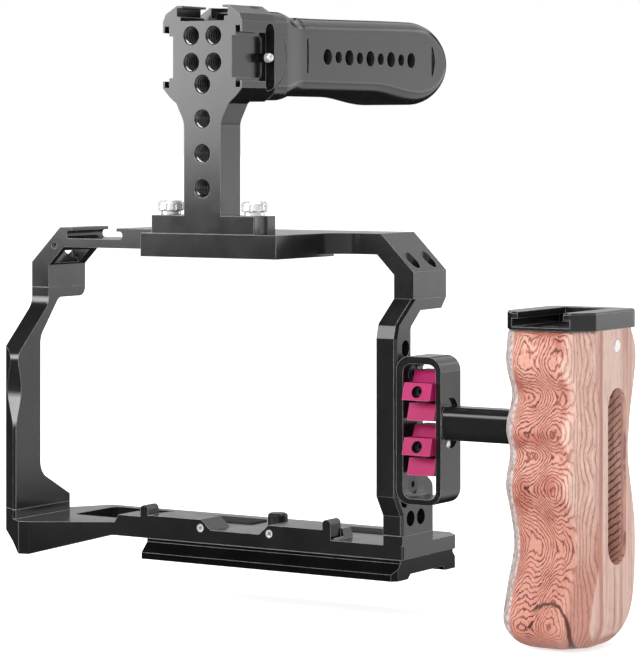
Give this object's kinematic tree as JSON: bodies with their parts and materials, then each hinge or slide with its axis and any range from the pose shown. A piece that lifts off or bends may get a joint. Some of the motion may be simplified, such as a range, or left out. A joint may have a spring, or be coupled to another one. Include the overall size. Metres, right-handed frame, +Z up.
{
  "type": "camera cage",
  "caption": "Black metal cage around a camera body, with a top handle, a dovetail plate below, and a side arm with cable clamps and a wooden hand grip.",
  "frame": {"origin": "mouth of the 1/4 inch tripod socket, on the underside of the quick-release plate", "axes": "+X to the right across the cage as seen from its front (towards the wooden grip), +Y to the back along the top handle, +Z up"},
  "size_m": [0.2172, 0.131, 0.1891],
  "materials": {
    "anodised": "black satin anodised aluminium with bright worn edges",
    "pink_anodised": "deep pink anodised aluminium",
    "steel": "polished stainless steel",
    "black_steel": "blackened alloy steel screws",
    "wood": "oiled reddish hardwood with dark growth rings",
    "pads": "soft black rubber"
  },
  "bodies": {
    "cage": {"base_plate": "anodised", "base_screws": "black_steel", "front_set_screws": "steel", "rubber_pads": "pads", "release_plate": "anodised", "release_plate_screws": "black_steel", "left_post": "anodised", "right_post": "anodised", "top_frame": "anodised", "top_frame_screws": "black_steel", "shoulder_screw": "black_steel", "handle_head": "anodised", "handle_grip": "anodised", "handle_grip_screws": "black_steel", "foot_dowels": "steel", "clamp_arm": "anodised", "clamp_arm_screws": "black_steel", "cable_clamp_pins": "steel", "upper_clamp_body": "pink_anodised", "lower_clamp_body": "pink_anodised"},
    "side_grip": {"wooden_grip": "wood", "grip_cap": "anodised", "grip_cap_screws": "black_steel", "grip_pin": "steel"},
    "grip_clamp_bolt": {"grip_bolt": "black_steel", "grip_washer": "steel"},
    "left_handle_screw": {"left_foot_screw": "steel"},
    "right_handle_screw": {"right_foot_screw": "steel"},
    "camera_lock_screw": {"camera_screw": "black_steel"},
    "plunger": {"shoe_plunger": "steel"},
    "upper_lock_screw": {"upper_clamp_screw": "black_steel"},
    "upper_jaw": {"upper_clamp_jaw": "pink_anodised"},
    "lower_lock_screw": {"lower_clamp_screw": "black_steel"},
    "lower_jaw": {"lower_clamp_jaw": "pink_anodised"}
  },
  "joints": [
    {"name": "grip_height", "type": "slide", "parent": "cage", "child": "side_grip", "axis": [0, 0, 1], "range_m": [-0.0065, 0.031]},
    {"name": "grip_bolt_turn", "type": "hinge", "parent": "cage", "child": "grip_clamp_bolt", "pos_m": [0.0875, -0.012, 0.04875], "axis": [1, 0, 0], "continuous": true},
    {"name": "left_foot_screw_turn", "type": "hinge", "parent": "cage", "child": "left_handle_screw", "pos_m": [-0.0375, -0.037, 0.11075], "axis": [0, 0, 1], "continuous": true},
    {"name": "right_foot_screw_turn", "type": "hinge", "parent": "cage", "child": "right_handle_screw", "pos_m": [-0.0065, -0.037, 0.11075], "axis": [0, 0, 1], "continuous": true},
    {"name": "camera_screw_turn", "type": "hinge", "parent": "cage", "child": "camera_lock_screw", "pos_m": [-0.022, 0, 0.00625], "axis": [0, 0, 1], "continuous": true},
    {"name": "shoe_plunger_press", "type": "slide", "parent": "cage", "child": "plunger", "axis": [-1, 0, 0], "range_m": [0, 0.0008], "stiffness_N_per_m": 600, "springref_m": -0.001},
    {"name": "upper_clamp_screw_turn", "type": "hinge", "parent": "cage", "child": "upper_lock_screw", "pos_m": [0.0426, -0.0196, 0.05835], "axis": [0, 1, 0], "continuous": true},
    {"name": "upper_clamp_jaw_lift", "type": "slide", "parent": "cage", "child": "upper_jaw", "axis": [0, 0, 1], "range_m": [0, 0.001]},
    {"name": "lower_clamp_screw_turn", "type": "hinge", "parent": "cage", "child": "lower_lock_screw", "pos_m": [0.0426, -0.0196, 0.04185], "axis": [0, 1, 0], "continuous": true},
    {"name": "lower_clamp_jaw_lift", "type": "slide", "parent": "cage", "child": "lower_jaw", "axis": [0, 0, 1], "range_m": [0, 0.001]}
  ]
}
